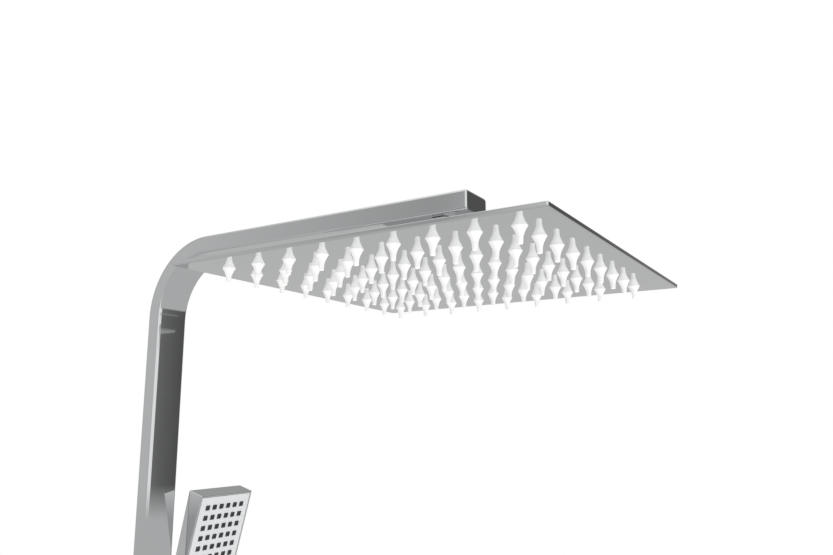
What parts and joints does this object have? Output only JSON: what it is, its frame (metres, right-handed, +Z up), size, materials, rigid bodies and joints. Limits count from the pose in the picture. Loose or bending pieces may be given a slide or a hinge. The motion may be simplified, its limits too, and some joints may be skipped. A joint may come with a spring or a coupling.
{
  "type": "rainfall shower column",
  "caption": "Wall-mounted shower column: bent flat riser with a square rain head on a ball joint, a hand shower in a sliding, tilting holder, and a diverter at the foot.",
  "frame": {"origin": "centre of the lower wall plate's back, on the wall", "axes": "+Z up along the riser, +Y into the wall, +X to the right as seen from the front"},
  "size_m": [0.3, 0.538, 1.0441],
  "materials": {
    "mirror_steel": "mirror-polished stainless steel",
    "chrome_brass": "brass with bright chrome plating",
    "chrome_plastic": "bright chrome plating on moulded or die-cast parts",
    "brass": "turned, unplated",
    "screw_steel": "machined stainless steel",
    "white_silicone": "moulded matt white silicone",
    "dark_rubber": "moulded matt dark grey rubber",
    "satin_face": "satin light grey",
    "seat_plastic": "natural acetal",
    "fibre": "pressed grey fibre washer",
    "ceramic": "lapped alumina ceramic",
    "marker_grey": "matt grey inlay"
  },
  "bodies": {
    "riser": {"riser_tube": "mirror_steel", "arm_end_cap": "mirror_steel", "arm_nipple": "brass", "ball_stem": "chrome_brass", "stem_washer": "fibre", "upper_wall_plate": "screw_steel", "upper_standoff": "chrome_brass", "upper_wall_cover": "mirror_steel", "lower_wall_plate": "screw_steel", "lower_standoff": "chrome_brass", "lower_wall_cover": "mirror_steel", "bracket_studs": "screw_steel", "bracket_nuts": "screw_steel", "bracket_grub_screws": "screw_steel", "diverter_body": "chrome_brass", "tube_seal": "dark_rubber", "tube_grub_screw": "screw_steel", "inlet_nipple": "chrome_brass", "hose_outlet_nipple": "chrome_brass", "inlet_strainer": "screw_steel", "diverter_cartridge": "brass", "fixed_disc": "ceramic", "bonnet_nut": "brass"},
    "lower_seat": {"ball_seat": "seat_plastic"},
    "upper_seat": {"ball_friction_ring": "seat_plastic"},
    "overhead_shower": {"socket_nut": "chrome_brass", "head_hub": "mirror_steel", "head_filter": "screw_steel", "flow_restrictor": "seat_plastic", "head_front_plate": "mirror_steel", "head_back_plate": "mirror_steel", "nozzle_mat": "white_silicone"},
    "holder": {"slider_liner": "seat_plastic", "slider_body": "chrome_plastic", "clamp_pad": "brass", "friction_washer": "seat_plastic", "pivot_screw": "screw_steel"},
    "holder_lock": {"lock_knob": "chrome_plastic", "lock_screw": "screw_steel"},
    "holder_cradle": {"cradle": "chrome_plastic"},
    "handset": {"handset_shell": "chrome_plastic", "handset_face_plate": "satin_face", "handset_nozzle_mat": "dark_rubber", "handset_manifold": "seat_plastic", "handset_gasket": "dark_rubber", "handset_nipple": "chrome_brass", "check_valve": "seat_plastic"},
    "diverter_control": {"turning_disc": "ceramic", "diverter_spindle": "screw_steel", "diverter_knob": "chrome_plastic", "knob_marker": "marker_grey", "knob_grub_screw": "screw_steel"}
  },
  "joints": [
    {"name": "head_nod", "type": "hinge", "parent": "riser", "child": "lower_seat", "pos_m": [0, -0.388, 0.883], "axis": [1, 0, 0], "range_deg": [-8, 8]},
    {"name": "head_roll", "type": "hinge", "parent": "lower_seat", "child": "upper_seat", "pos_m": [0, -0.388, 0.883], "axis": [0, 1, 0], "range_deg": [-8, 8]},
    {"name": "head_turn", "type": "hinge", "parent": "upper_seat", "child": "overhead_shower", "pos_m": [0, -0.388, 0.883], "axis": [0, 0, 1], "continuous": true},
    {"name": "holder_slide", "type": "slide", "parent": "riser", "child": "holder", "axis": [0, 0, 1], "range_m": [-0.38, 0.07]},
    {"name": "lock_turn", "type": "hinge", "parent": "holder", "child": "holder_lock", "pos_m": [-0.03, -0.0565, 0.46], "axis": [-1, 0, 0], "range_deg": [0, 270]},
    {"name": "cradle_tilt", "type": "hinge", "parent": "holder", "child": "holder_cradle", "pos_m": [0.036, -0.0545, 0.46], "axis": [1, 0, 0], "range_deg": [-15, 30]},
    {"name": "handset_lift", "type": "slide", "parent": "holder_cradle", "child": "handset", "axis": [0, 0, 1], "range_m": [0, 0.08]},
    {"name": "diverter_turn", "type": "hinge", "parent": "riser", "child": "diverter_control", "pos_m": [0, -0.08, -0.072], "axis": [0, -1, 0], "range_deg": [-60, 60]}
  ]
}
